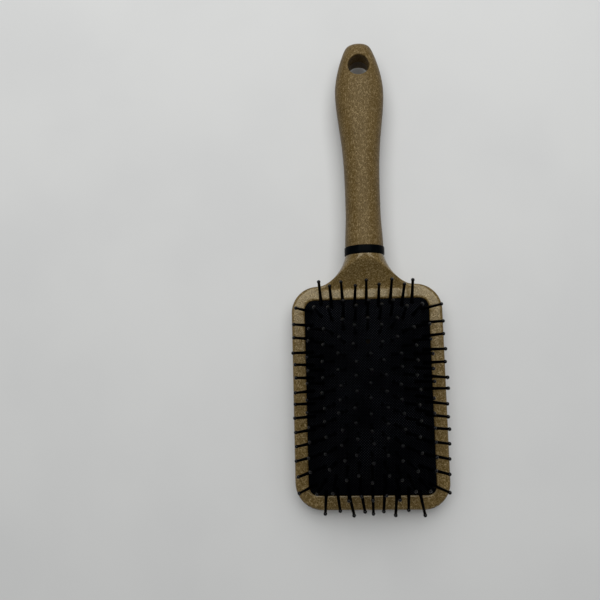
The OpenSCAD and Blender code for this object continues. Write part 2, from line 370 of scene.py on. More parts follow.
class Recipe:
    """One node material in the making."""

    def __init__(self, name: str) -> None:
        """Starts an empty material.

        Args:
            name: Name of the material.
        """
        self.material = bpy.data.materials.new(name)
        self.material.use_nodes = True
        self.tree = self.material.node_tree
        self.tree.nodes.clear()

    def node(self, kind: str, settings: dict[str, object], sockets: dict) -> bpy.types.Node:
        """Adds any node.

        Args:
            kind: The node's type.
            settings: Its properties, which are set first.
            sockets: Values or wires for its inputs, by name or number.

        Returns:
            The new node.
        """
        made = self.tree.nodes.new(kind)
        for name, value in settings.items():
            setattr(made, name, value)
        for key, value in sockets.items():
            if isinstance(value, Wire):
                self.tree.links.new(value.socket, made.inputs[key])
            else:
                made.inputs[key].default_value = value
        return made

    def wire(
        self, kind: str, settings: dict[str, object], sockets: dict, output: int | str = 0
    ) -> Wire:
        """Adds any node and gives one of its outputs, by name or number."""
        return Wire(self, self.node(kind, settings, sockets).outputs[output])

    def place_mm(self) -> Wire:
        """Gives the place on the piece in millimetres."""
        place = self.wire("ShaderNodeTexCoord", {}, {}, "Object")
        return self.turned(place, (0, 0, 0), (MM, MM, MM))

    def turned(self, place: Wire, degrees: Sequence[float], size: Sequence[float]) -> Wire:
        """Gives a place in a frame turned about X, Y and Z, with units of its own along them."""
        sockets = {"Vector": place, "Rotation": [math.radians(a) for a in degrees], "Scale": size}
        return self.wire("ShaderNodeMapping", {"vector_type": "TEXTURE"}, sockets)

    def noise(self, place: Wire, per_mm: float, detail: float = 2.0, rough: float = 0.5) -> Wire:
        """Adds smooth noise round 0.5, with so many lumps to a millimetre."""
        sockets = {"Vector": place, "Scale": per_mm, "Detail": detail, "Roughness": rough}
        return self.wire("ShaderNodeTexNoise", {}, sockets)

    def cells(
        self, place: Wire, per_unit: float, edge: Sequence[float], channel: int, share: float
    ) -> Wire:
        """Scatters spots, of which some are left out and some are faint.

        Args:
            place: Where to read them.
            per_unit: Spots to a unit of that place.
            edge: Distances from a spot's middle at which it is 0 and 1.
            channel: Channel of the spots' own colours that says how strong each is.
            share: Share of the spots that show.

        Returns:
            A mask that is 1 on the strongest spots.
        """
        made = self.node("ShaderNodeTexVoronoi", {}, {"Vector": place, "Scale": per_unit})
        near = Wire(self, made.outputs["Distance"]).fade(*edge)
        colour = Wire(self, made.outputs["Color"])
        luck = self.wire("ShaderNodeSeparateColor", {}, {0: colour}, channel)
        return near * luck.fade(1 - share, 1.0)

    def blend(self, share: Value, a: "Colour | Wire", b: "Colour | Wire") -> Wire:
        """Mixes colour a with a share of colour b."""
        return self.wire("ShaderNodeMix", {"data_type": "RGBA"}, {0: share, 6: a, 7: b}, 2)

    def bump(self, height: Wire, strength: float, depth_mm: float) -> Wire:
        """Turns a height from 0 to 1, which stands for a depth in millimetres, into a normal."""
        sockets = {"Strength": strength, "Distance": depth_mm * MM, "Height": height}
        return self.wire("ShaderNodeBump", {}, sockets)

    def finish(self, sockets: dict) -> Material:
        """Ends the material in a Principled shader.

        Args:
            sockets: Values or wires for the shader's inputs.

        Returns:
            The material.
        """
        shader = self.wire("ShaderNodeBsdfPrincipled", {}, sockets)
        self.node("ShaderNodeOutputMaterial", {}, {"Surface": shader})
        return self.material


@dataclass(frozen=True)
class StrawPlastic:
    """Satin plastic filled with chopped straw: a mottled ground, pale fibres and dark specks."""

    name: str
    ground: Colour
    pale: Colour
    dark: Colour
    turns: tuple[Triple, ...]
    roughness: float = 0.16
    shine: float = 0.58
    sheen: Colour = (1.0, 0.91, 0.69, 1.0)
    fibre_l: float = 3.0
    fibre_d: float = 0.46
    fibre_share: float = 0.42
    fibre_edge: Pair = (0.4, 0.16)
    fibre_strength: float = 0.85
    speck_d: float = 0.65
    speck_share: float = 0.55
    speck_edge: Pair = (0.5, 0.2)
    speck_strength: float = 0.85
    grain: Triple = (1.3, 3.0, 0.7)
    grain_fade: Pair = (0.36, 0.7)
    grain_strength: float = 0.3
    cloud: Pair = (0.1, 2.0)
    cloud_fade: Pair = (0.35, 0.7)
    cloud_strength: float = 0.15
    relief: Pair = (0.7, 0.06)
    grain_height: float = 0.6
    fibre_height: float = 0.4
    grain_rough: float = 0.2
    fibre_rough: float = 0.05

    def fibres(self, recipe: Recipe, place: Wire) -> Wire:
        """Makes the mask of the straw fibres, which lie in several directions.

        Args:
            recipe: The material in the making.
            place: Place on the piece in millimetres.

        Returns:
            A mask that is 1 on a fibre.
        """
        mask: Value = 0.0
        for turn in self.turns:
            along = recipe.turned(place, turn, (self.fibre_l, self.fibre_d, self.fibre_d))
            spots = recipe.cells(along, 1.0, self.fibre_edge, 0, self.fibre_share)
            mask = spots.higher(mask)
        return mask

    def make(self) -> Material:
        """Makes the material.

        Returns:
            The material.
        """
        recipe = Recipe(self.name)
        place = recipe.place_mm()
        fibres = self.fibres(recipe, place)
        specks = recipe.cells(place, 1 / self.speck_d, self.speck_edge, 1, self.speck_share)
        grain = recipe.noise(place, *self.grain)
        cloud = recipe.noise(place, *self.cloud)
        mottle = grain.fade(*self.grain_fade) * self.grain_strength
        colour = recipe.blend(mottle, self.ground, self.pale)
        colour = recipe.blend(specks * self.speck_strength, colour, self.dark)
        colour = recipe.blend(fibres * self.fibre_strength, colour, self.pale)
        shade = cloud.fade(*self.cloud_fade) * self.cloud_strength
        colour = recipe.blend(shade, colour, self.dark)
        uneven = (grain - 0.5) * self.grain_rough
        height = grain * self.grain_height + fibres * self.fibre_height
        return recipe.finish({
            "Base Color": colour,
            "Roughness": self.roughness + uneven + fibres * self.fibre_rough,
            "Specular IOR Level": self.shine,
            "Specular Tint": self.sheen,
            "Normal": recipe.bump(height, *self.relief),
        })


@dataclass(frozen=True)
class HatchedRubber:
    """Matt black rubber with a fine hatch at 45 degrees, whose raised knobs carry a painted
    highlight, patchy under a cloud.
    """

    name: str
    colour: Colour = (0.0001, 0.0002, 0.0004, 1.0)
    # Lighter colour painted on the hatch's knobs as a painted highlight.
    painted_knob_highlight: Colour = (0.018, 0.020, 0.0245, 1.0)
    pitch: float = 0.95
    turns: Pair = (45, -45)
    knob_fade: Pair = (0.3, 0.85)
    knob_rough: float = -0.12
    cloud: Pair = (0.07, 3.0)
    cloud_fade: Pair = (0.3, 0.7)
    cloud_share: float = 0.65
    cloud_rough: float = 0.15
    roughness: float = 0.5
    shine: float = 0.004
    relief: Pair = (0.5, 0.14)

    def make(self) -> Material:
        """Makes the material.

        Returns:
            The material.
        """
        recipe = Recipe(self.name)
        place = recipe.place_mm()
        unit = self.pitch / math.tau
        ribs: Value = 1.0
        for turn in self.turns:
            across = recipe.turned(place, (0, 0, turn), (unit, unit, unit))
            split = recipe.wire("ShaderNodeSeparateXYZ", {}, {0: across})
            wave = split.math("SINE", split, 0.0) * 0.5 + 0.5
            ribs = wave * ribs
        knobs = ribs.fade(*self.knob_fade)
        cloud = recipe.noise(place, *self.cloud).fade(*self.cloud_fade)
        # Painted highlight: the knobs are mixed towards a lighter colour, less of it under the
        # cloud.
        painted_highlight = knobs * (1 - self.cloud_share + cloud * self.cloud_share)
        return recipe.finish({
            "Base Color": recipe.blend(painted_highlight, self.colour, self.painted_knob_highlight),
            "Roughness": self.roughness + cloud * self.cloud_rough + knobs * self.knob_rough,
            "Specular IOR Level": self.shine,
            "Normal": recipe.bump(knobs, *self.relief),
        })


@dataclass(frozen=True)
class Mottled:
    """A finish of one colour clouded by another, with a fine grain in its relief."""

    name: str
    colour: Colour
    cloudy: Colour
    roughness: float
    shine: float
    cloud: Pair
    cloud_fade: Pair
    grain: Pair
    grain_rough: float
    relief: Pair
    grain_units: Triple = (1.0, 1.0, 1.0)
    cloud_share: float = 1.0
    cloud_rough: float = 0.0

    def make(self) -> Material:
        """Makes the material.

        Returns:
            The material.
        """
        recipe = Recipe(self.name)
        place = recipe.place_mm()
        cloud = recipe.noise(place, *self.cloud).fade(*self.cloud_fade)
        grain = recipe.noise(recipe.turned(place, (0, 0, 0), self.grain_units), *self.grain)
        return recipe.finish({
            "Base Color": recipe.blend(cloud * self.cloud_share, self.colour, self.cloudy),
            "Roughness": self.roughness + grain * self.grain_rough + cloud * self.cloud_rough,
            "Specular IOR Level": self.shine,
            "Normal": recipe.bump(grain, *self.relief),
        })


@dataclass
class CushionPlan:
    """Plan and crown of the cushion, which the head's pocket and the pins follow."""

    rim_z: float
    flange_w: float = 1.8
    corner_r: float = 5.5
    crown_power: float = 2.6
    mitre: float = 4.0
    least_inset: float = 0.01
    slope_step: float = 0.01
    half_w: float = field(init=False)
    half_l: float = field(init=False)
    centre_y: float = field(init=False)
    crown_h: float = field(init=False)

    def __post_init__(self) -> None:
        """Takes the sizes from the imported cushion."""
        low, high = box_mm("cushion")
        self.half_w = (high[0] - low[0]) / 2 - self.flange_w
        self.half_l = (high[1] - low[1]) / 2 - self.flange_w
        self.centre_y = (high[1] + low[1]) / 2
        self.crown_h = high[2] - self.rim_z

    def outline(self, out: float, corner: int, long: int, short: int) -> Array:
        """Draws the cushion's outline round its own centre.

        Args:
            out: Distance to move the outline outwards.
            corner: Steps in each corner.
            long: Steps in each long side.
            short: Steps in each short side.

        Returns:
            Points that go round once.
        """
        r = self.corner_r + out
        cx = self.half_w - self.corner_r
        cy = self.half_l - self.corner_r
        turn = np.arange(corner) / corner * QUARTER_TURN
        sides = ((cx, cy, short), (-cx, cy, long), (-cx, -cy, short), (cx, -cy, long))
        points = []
        for number, (x, y, steps) in enumerate(sides):
            angle = turn + number * QUARTER_TURN
            points.append(np.column_stack((x + r * np.cos(angle), y + r * np.sin(angle))))
            end = (number + 1) * QUARTER_TURN
            reach = r * np.array((math.cos(end), math.sin(end)))
            start = np.array((x, y)) + reach
            stop = np.array(sides[(number + 1) % len(sides)][:2]) + reach
            share = (np.arange(steps) / steps)[:, None]
            points.append(start + (stop - start) * share)
        return np.vstack(points)

    def crown(self, x: Array, y: Array) -> Array:
        """Gives the height of the crown above the rim.

        Args:
            x: Places across the cushion, from its centre.
            y: Places along the cushion, from its centre.

        Returns:
            The heights.
        """
        dx = np.maximum(self.least_inset, self.half_w - np.abs(x))
        dy = np.maximum(self.least_inset, self.half_l - np.abs(y))
        edge = (dx**-self.mitre + dy**-self.mitre) ** (-1 / self.mitre)
        return self.crown_h * (1 - (1 - np.minimum(1, edge / self.half_w)) ** self.crown_power)

    def normal(self, x: Array, y: Array) -> Array:
        """Gives the crown's upward normals.

        Args:
            x: Places across the cushion, from its centre.
            y: Places along the cushion, from its centre.

        Returns:
            Unit vectors.
        """
        step = self.slope_step
        rise_x = (self.crown(x + step, y) - self.crown(x - step, y)) / (2 * step)
        rise_y = (self.crown(x, y + step) - self.crown(x, y - step)) / (2 * step)
        found = np.stack((-rise_x, -rise_y, np.ones_like(rise_x)), axis=-1)
        return found / np.linalg.norm(found, axis=-1, keepdims=True)

    def spot(self, x: float, y: float) -> Vector:
        """Gives the place on the crown's face, in the brush, above a place in the plan."""
        return Vector((x, y + self.centre_y, self.rim_z + float(self.crown(x, y))))


@dataclass
class PaddleHead:
    """The head: a plate with soft edges, whose shoulders draw in to a round neck behind a ramp."""

    rim_z: float
    corner_r: float = 14.0
    rim_edge_r: float = 2.0
    back_edge_r: float = 4.5
    neck_l: float = 15.7
    neck_r: float = 10.3
    neck_taper: float = 3.9
    ramp_inset: float = 1.5
    ramp_top: float = 2.5
    ramp_hollow: float = 0.22
    ramp_bend: float = 0.5
    crease_w: float = 0.4
    arris_w: float = 0.45
    arris_from: float = 0.3
    flank_power: float = 2.8
    tenon_r: float = 6.5
    back_wall: float = 4.0
    lip_t: float = 1.6
    lip_edge_r: float = 0.9
    lip_over: float = 0.35
    lip_edge_steps: int = 6
    groove_h: float = 2.0
    groove_w: float = 2.0
    shelf_w: float = 1.2
    points: int = 64
    close_points: int = 420
    outline_points: tuple[int, int] = (60, 240)
    corner_stations: int = 20
    side_stations: int = 12
    flare_stations: int = 34
    foot_stations: tuple[float, ...] = (-0.3, -0.12, 0.0, 0.12, 0.3)
    top_stations: tuple[float, ...] = (-0.7, -0.2, 0.3, 0.9)
    station_gap: float = 0.04
    pocket_corner_steps: int = 10
    half_w: float = field(init=False)
    far_y: float = field(init=False)
    shoulder_y: float = field(init=False)
    neck_y: float = field(init=False)
    tenon_y: float = field(init=False)
    axis_z: float = field(init=False)
    edge: Array = field(init=False)

    def __post_init__(self) -> None:
        """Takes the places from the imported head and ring, and draws the outline once."""
        low, high = box_mm("paddle_head")
        ring_low, ring_high = box_mm("neck_ring")
        self.half_w = high[0]
        self.far_y = low[1]
        self.neck_y = ring_low[1]
        self.shoulder_y = self.neck_y - self.neck_l
        self.tenon_y = high[1]
        self.axis_z = (ring_low[2] + ring_high[2]) / 2
        self.edge = self.half_outline()

    @property
    def corner_x(self) -> float:
        """Place across the head where its corners start."""
        return self.half_w - self.corner_r

    def up_neck(self, y: float) -> float:
        """Gives the share of the neck that lies before a place, from 0 at the shoulder."""
        return clamp((y - self.shoulder_y) / self.neck_l)

    def neck_half_w(self, y: float) -> float:
        """Gives the neck's half width, from its flare at the shoulder to its round end.

        Args:
            y: The place along the head.

        Returns:
            The half width there.
        """
        left = clamp((self.neck_y - y) / self.neck_l)
        flare = self.corner_x - self.neck_r - self.neck_taper
        return self.neck_r + self.neck_taper * left + flare * (1 - math.sqrt(1 - left * left))

    def bends(self, corner: int, flare: int) -> list[Array]:
        """Lists places along the outline's bends.

        Args:
            corner: How many places each corner has.
            flare: How many places the neck's flare has.

        Returns:
            The places along the far corner, the near corner and the flare.
        """
        turn = self.corner_r * slow_start(corner)
        neck = self.shoulder_y + self.neck_l * slow_start(flare)
        return [self.far_y + turn, self.shoulder_y - turn[::-1], neck]

    def half_width(self, y: float) -> float:
        """Gives the half width of the head's outline.

        Args:
            y: The place along the head.

        Returns:
            The half width there.
        """
        if y > self.shoulder_y:
            return self.neck_half_w(y)
        into = min(y - self.far_y, self.shoulder_y - y)
        short = max(0.0, self.corner_r - into)
        return self.corner_x + math.sqrt(self.corner_r**2 - short**2)

    def half_outline(self) -> Array:
        """Draws one side of the head's outline, run on past the ring.

        Returns:
            Close points, from the middle of the far end.
        """
        straight, curve = self.outline_points
        far_x = np.linspace(0, self.corner_x, straight)
        far = np.column_stack((far_x, np.full(straight, self.far_y)))
        places = np.concatenate(self.bends(curve, curve))
        side = np.column_stack(([self.half_width(y) for y in places], places))
        past = np.array(((self.neck_r, self.neck_y + self.corner_r),))
        return np.vstack((far, side, past))

    def inset(self, x: Array, y: float) -> Array:
        """Gives the distance from places on one line across the head to its outline.

        Args:
            x: Places across the head.
            y: The line's place along the head.

        Returns:
            The distances.
        """
        start = self.edge[:-1]
        span = self.edge[1:] - start
        spot = np.column_stack((x, np.full_like(x, y)))[:, None, :] - start
        length = np.maximum(LEAST_STEP**2, (span**2).sum(1))
        along = np.clip((spot * span).sum(2) / length, 0, 1)
        away = spot - along[..., None] * span
        return np.sqrt((away**2).sum(2)).min(1)

    def drop(self, y: float) -> float:
        """Gives the share of its rise that the hollowed ramp lies below its top.

        Args:
            y: The place along the head.

        Returns:
            The share, from 1 at the ramp's foot to 0 at its top.
        """
        length = self.neck_l + self.ramp_inset - self.ramp_top
        left = 1 - (y - self.shoulder_y + self.ramp_inset) / length
        return left * (1 + self.ramp_hollow * (1 - max(0.0, left)))

    def crest(self, y: float) -> float:
        """Gives the height of the front's middle: flat rim, then a ramp up to the round neck.

        Args:
            y: The place along the head.

        Returns:
            The height.
        """
        if y < self.shoulder_y - self.ramp_inset - self.rim_edge_r:
            return self.rim_z
        top = self.axis_z + self.neck_r
        bend = self.ramp_bend * clamp((self.neck_y - y) / self.ramp_top)
        ramp = soft_min(top - (top - self.rim_z) * self.drop(y), top, bend)
        return soft_max(self.rim_z, float(ramp), self.crease_w)

    def arch(self, y: float) -> float:
        """Gives the share of the half width that stays flat on the ramp, down to 0 at its top."""
        return math.sqrt(1 - (1 - clamp(self.drop(y))) ** 2)

    def face(self, d: Array, y: float) -> Array:
        """Gives the heights of the front on one line across: a rounded rim, or a neck and ramp.

        Args:
            d: Distances to the outline, from the middle outwards.
            y: The line's place along the head.

        Returns:
            The heights.
        """
        share = self.up_neck(y)
        side_z = mix(self.rim_z - self.rim_edge_r, self.axis_z, ease(share))
        crest = self.crest(y)
        on_ramp = y > self.shoulder_y - self.rim_edge_r
        flat = (d[0] - self.rim_edge_r) * self.arch(y) if on_ramp else d[0]
        eased_w = max(self.rim_edge_r, d[0] - flat)
        eased = side_z + (crest - side_z) * rounding(d, eased_w)
        power = mix(self.flank_power, ROUND_POWER, share)
        body_h = self.axis_z + self.neck_r - side_z
        body = side_z + body_h * rounding(d, max(self.rim_edge_r, d[0]), power)
        arris_w = self.arris_w * clamp((self.neck_y - y) / self.ramp_top)
        arris = soft_min(body, crest, arris_w)
        return mix(eased, arris, ease(clamp(share / self.arris_from)))

    def half_section(self, y: float) -> Array:
        """Draws one side of the head's section.

        Args:
            y: The place along the head.

        Returns:
            Close points across and up, from the middle of the back to the middle of the front.
        """
        share = ease(self.up_neck(y))
        x = self.half_width(y) * (1 - np.linspace(1, 0, self.close_points) ** 2)
        d = self.inset(x, y)
        back_w = mix(self.back_edge_r, max(d[0], self.back_edge_r), share)
        back_h = mix(self.back_edge_r, self.neck_r, share)
        low = mix(0.0, self.axis_z - self.neck_r, share)
        back = np.column_stack((x, low + back_h * (1 - rounding(d, back_w))))
        front = np.column_stack((x, self.face(d, y)))
        return np.vstack((back, front[::-1]))

    def section(self, y: float) -> Array:
        """Draws the head's section.

        Args:
            y: The place along the head.

        Returns:
            Points that go round once from the middle of the back, closest where it turns.
        """
        x, z = spread(self.half_section(y), self.points + 1).T
        x[0] = x[-1] = 0.0
        ring_x = np.concatenate((x, -x[-2:0:-1]))
        ring_z = np.concatenate((z, z[-2:0:-1]))
        return np.column_stack((ring_x, np.full_like(ring_x, y), ring_z))

    def stations(self) -> list[float]:
        """Lists the places along the head where a section is drawn.

        Returns:
            The places, closest where the outline turns.
        """
        far, near, flare = self.bends(self.corner_stations, self.flare_stations)
        sides = np.linspace(far[-1], near[0], self.side_stations)[1:-1]
        foot = self.shoulder_y - self.ramp_inset + np.array(self.foot_stations)
        top = self.neck_y - self.ramp_top + np.array(self.top_stations)
        places = np.sort(np.concatenate((far, sides, near, flare, foot, top)))
        kept = [float(places[0])]
        for place in places[1:]:
            if place - kept[-1] > self.station_gap:
                kept.append(float(place))
        kept[-1] = self.neck_y
        return kept

    def collar(self, y: float) -> Array:
        """Draws the tenon's round section.

        Args:
            y: Its place along the head.

        Returns:
            Points in the order of the other sections.
        """
        angle = np.arange(2 * self.points) / self.points * math.pi
        x = self.tenon_r * np.sin(angle)
        z = self.axis_z - self.tenon_r * np.cos(angle)
        return np.column_stack((x, np.full_like(angle, y), z))

    def pocket(self, plan: CushionPlan) -> Piece:
        """Makes the shape of the air chamber, its groove and its rounded mouth.

        Args:
            plan: Plan of the cushion that sits there.

        Returns:
            The closed shape, to be cut out.
        """
        lip_z = self.rim_z - self.lip_t
        levels = [
            (-self.shelf_w, self.back_wall),
            (-self.shelf_w, lip_z - self.groove_h),
            (self.groove_w, lip_z - self.groove_h),
            (self.groove_w, lip_z),
            (-self.lip_over, lip_z),
        ]
        for run, fall in round_edge(self.lip_edge_r, self.lip_edge_steps):
            levels.append((run - self.lip_over, self.rim_z - fall))
        levels.append((self.lip_edge_r - self.lip_over, 2 * self.rim_z))
        rings = []
        for out, z in levels:
            flat = plan.outline(out, self.pocket_corner_steps, 1, 1) + (0.0, plan.centre_y)
            rings.append(np.column_stack((flat, np.full(len(flat), z))))
        return loft(rings, "pocket_cutter")

    def build(self, plan: CushionPlan) -> Piece:
        """Models the head with its pocket and its tenon.

        Args:
            plan: Plan of the cushion.

        Returns:
            The head.
        """
        rings = [self.section(place) for place in self.stations()]
        rings += [self.collar(place) for place in (self.neck_y, self.tenon_y)]
        piece = loft(rings, "straw_head")
        cut(piece, self.pocket(plan))
        return crease(piece)


@dataclass
class Handle:
    """The handle: a grip that narrows to a waist, swells and ends blunt, with a hanging hole."""

    axis_z: float
    waist_at: float = 20.0
    waist: Pair = (18.8, 17.8)
    swell_at: float = 86.2
    swell_t: float = 17.8
    swell_ease: float = 1.75
    tip_ease: float = 1.8
    tip_plan: Triple = (0.53, 28.0, 4.0)
    tip_side: Triple = (0.12, 6.0, 3.0)
    tip_flat: float = 0.004
    hole_r: float = 5.6
    hole_from_end: float = 14.5
    hole_draft: float = 0.15
    hole_edge_r: float = 0.6
    hole_edge_steps: int = 7
    hole_points: int = 64
    seam_r: float = 0.16
    seam_w: float = 0.22
    socket_r: float = 6.6
    socket_l: float = 18.5
    points: int = 96
    shaft_stations: int = 46
    tip_stations: int = 44
    grip_d: float = field(init=False)
    swell_w: float = field(init=False)
    start_y: float = field(init=False)
    length: float = field(init=False)

    def __post_init__(self) -> None:
        """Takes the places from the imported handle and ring."""
        low, high = box_mm("handle")
        _, ring_high = box_mm("neck_ring")
        self.start_y = ring_high[1]
        self.length = high[1] - self.start_y
        self.swell_w = high[0] - low[0]
        self.grip_d = high[2] - low[2]

    def size(self, v: float, waist: float, swell: float, tip: Triple) -> float:
        """Gives the handle's half width or half thickness.

        Args:
            v: Distance from the ring.
            waist: Size at the waist.
            swell: Size at the swell.
            tip: Share that the tip draws in, then how late and how square it ends.

        Returns:
            Half of the size there.
        """
        if v < self.waist_at:
            return mix(self.grip_d, waist, ease(v / self.waist_at)) / 2
        if v < self.swell_at:
            share = (v - self.waist_at) / (self.swell_at - self.waist_at)
            return mix(waist, swell, ease(share**self.swell_ease)) / 2
        share = min(1.0, (v - self.swell_at) / (self.length - self.swell_at))
        drawn, late, square = tip
        blunt = (1 - share**late) ** (1 / square)
        return swell / 2 * (1 - drawn * share**self.tip_ease) * blunt

    def halves(self, v: float) -> Pair:
        """Gives the half width and half thickness at a distance from the ring."""
        wide = self.size(v, self.waist[0], self.swell_w, self.tip_plan)
        return wide, self.size(v, self.waist[1], self.swell_t, self.tip_side)

    def oval(self, wide: float, high: float, v: float) -> Array:
        """Draws an oval across the handle.

        Args:
            wide: Half width.
            high: Half thickness.
            v: Distance from the ring.

        Returns:
            Points that go round once.
        """
        angle = np.arange(self.points) / self.points * math.tau
        y = np.full(self.points, self.start_y + v)
        return np.column_stack((wide * np.cos(angle), y, self.axis_z + high * np.sin(angle)))

    def surface_z(self, x: Array, y: Array) -> Array:
        """Gives how far the face stands above the axis, at places across and along the brush."""
        halves = np.array([self.halves(v - self.start_y) for v in y])
        return halves[:, 1] * np.sqrt(np.maximum(0, 1 - (x / halves[:, 0]) ** 2))

    def hole(self) -> Piece:
        """Makes the shape of the hanging hole, drafted from a seam and with rounded mouths.

        Returns:
            The closed shape, to be cut out.
        """
        centre = self.start_y + self.length - self.hole_from_end
        angle = np.arange(self.hole_points) / self.hole_points * math.tau
        wall_r = self.hole_r + self.hole_draft
        mouth_r = wall_r + self.hole_edge_r
        face = self.surface_z(mouth_r * np.cos(angle), centre + mouth_r * np.sin(angle))
        half = [
            (self.hole_r - self.seam_r, np.zeros_like(angle)),
            (self.hole_r, np.full_like(angle, self.seam_w)),
        ]
        for run, fall in round_edge(self.hole_edge_r, self.hole_edge_steps):
            half.append((wall_r + run, face - fall))
        half.append((mouth_r, np.full_like(angle, self.grip_d)))
        whole = [(r, -z) for r, z in half[:0:-1]] + half
        around = np.column_stack((np.cos(angle), np.sin(angle)))
        rings = [np.column_stack((r * around, z)) + (0.0, centre, self.axis_z) for r, z in whole]
        return loft(rings, "hole_cutter")

    def build(self) -> Piece:
        """Models the handle with its socket and hanging hole.

        Returns:
            The handle.
        """
        shaft = np.linspace(0, self.swell_at, self.shaft_stations)[:-1]
        turn = np.linspace(0, QUARTER_TURN, self.tip_stations)[:-1]
        tip = self.swell_at + (self.length - self.swell_at) * np.sin(turn)
        places = [float(v) for v in (*shaft, *tip)]
        rings = [self.oval(self.socket_r, self.socket_r, v) for v in (self.socket_l, 0.0)]
        rings += [self.oval(*self.halves(v), v) for v in places]
        rings.append(self.oval(*self.halves(self.length - self.tip_flat), self.length))
        piece = loft(rings, "straw_handle")
        cut(piece, self.hole())
        return crease(piece)


@dataclass
class NeckRing:
    """The ring between neck and handle: a polished band with eased edges."""

    bore_r: float = 6.6
    edge_r: float = 0.55
    edge_steps: int = 5
    steps: int = 96

    def build(self) -> Piece:
        """Models the ring by turning its profile.

        Returns:
            The ring.
        """
        low, high = box_mm("neck_ring")
        rim = (high[0] - low[0]) / 2
        axis_z = (high[2] + low[2]) / 2
        edge = round_edge(self.edge_r, self.edge_steps)
        profile = [(self.bore_r, low[1])]
        profile += [(rim - fall, low[1] + run) for run, fall in edge]
        profile += [(rim - fall, high[1] - run) for run, fall in edge[::-1]]
        profile.append((self.bore_r, high[1]))
        points = [Vector((r, y, axis_z)) for r, y in profile]
        mesh = spun(points, Vector((0, 0, axis_z)), (0, 1, 0), self.steps, looped=True)
        return crease(finish_mesh(mesh, "gloss_ring"))


@dataclass
class Cushion:
    """The air cushion: a crowned rubber sheet with a flange under the head's lip and one vent."""

    plan: CushionPlan
    thickness: float = 1.2
    gap: float = 0.2
    edge_gap: float = 0.45
    lip_t: float = 1.6
    flange_t: float = 1.6
    vent_r: float = 1.2
    vent_l: float = 7.2
    vent_points: int = 24
    corner_steps: int = 12
    long_steps: int = 44
    short_steps: int = 28
    crown_steps: int = 30
    crown_start: float = 0.02
    sharp_degrees: float = 50.0

    def ring(self, flat: Array, height: Array) -> Array:
        """Lifts points of the cushion's own plane into the brush, by heights above the rim."""
        y = flat[:, 1] + self.plan.centre_y
        return np.column_stack((flat[:, 0], y, self.plan.rim_z + height))

    def outline(self, out: float) -> Array:
        """Draws the cushion's outline, moved outwards."""
        return self.plan.outline(out, self.corner_steps, self.long_steps, self.short_steps)

    def sheet(self, depth: float) -> list[Array]:
        """Draws the crown, or a copy of it below, as rings from the middle to the edge.

        Args:
            depth: Distance below the outer face.

        Returns:
            The rings.
        """
        edge = self.outline(-self.edge_gap)
        rings = []
        for turn in np.linspace(self.crown_start, 1, self.crown_steps) * QUARTER_TURN:
            flat = edge * np.sin(turn)
            lift = self.plan.crown(flat[:, 0], flat[:, 1])
            sunk = self.plan.normal(flat[:, 0], flat[:, 1]) * depth
            rings.append(self.ring(flat - sunk[:, :2], lift - sunk[:, 2]))
        return rings

    def vent(self, x: float, y: float) -> Piece:
        """Makes the shape of the air vent.

        Args:
            x: Its place across the cushion.
            y: Its place along the cushion.

        Returns:
            The shape, to be cut out.
        """
        mesh = bmesh.new()
        bmesh.ops.create_cone(
            mesh, cap_ends=True, segments=self.vent_points,
            radius1=self.vent_r * MM, radius2=self.vent_r * MM,
            depth=self.vent_l * MM, matrix=Matrix.Translation(self.plan.spot(x, y) * MM),
        )
        return finish_mesh(mesh, "vent_cutter")

    def build(self, vent: Pair) -> Piece:
        """Models the cushion.

        Args:
            vent: Place of the air vent from the cushion's centre.

        Returns:
            The cushion.
        """
        top = -self.lip_t - self.gap
        skirt = (
            (-self.edge_gap, top),
            (self.plan.flange_w, top),
            (self.plan.flange_w, top - self.flange_t),
            (-self.thickness - self.edge_gap, top - self.flange_t),
        )
        rings = self.sheet(0.0)
        for out, z in skirt:
            flat = self.outline(out)
            rings.append(self.ring(flat, np.full(len(flat), z)))
        rings += self.sheet(self.thickness)[::-1]
        piece = loft(rings, "rubber_cushion")
        cut(piece, self.vent(*vent))
        return crease(piece, self.sharp_degrees)

    def soften(self, piece: Piece, joint: str, travel: float) -> None:
        """Gives the cushion a mesh of its own; the crown is not made to flatten as the pins are
        pressed.

        Args:
            piece: The cushion.
            joint: Not used.
            travel: How far the crown goes down.
        """
        1 - travel / self.plan.crown_h
        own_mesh(piece)


@dataclass(frozen=True)
class Pin:
    """One pin of the field, by column and row."""

    column: int
    row: int
    x: float
    y: float
    body: Body
    side: Side | None

    @property
    def node(self) -> str:
        """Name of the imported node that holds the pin."""
        ring = self.body.name.lower()
        return f"pins_{ring}_{self.side.value}" if self.side else f"pins_{ring}"


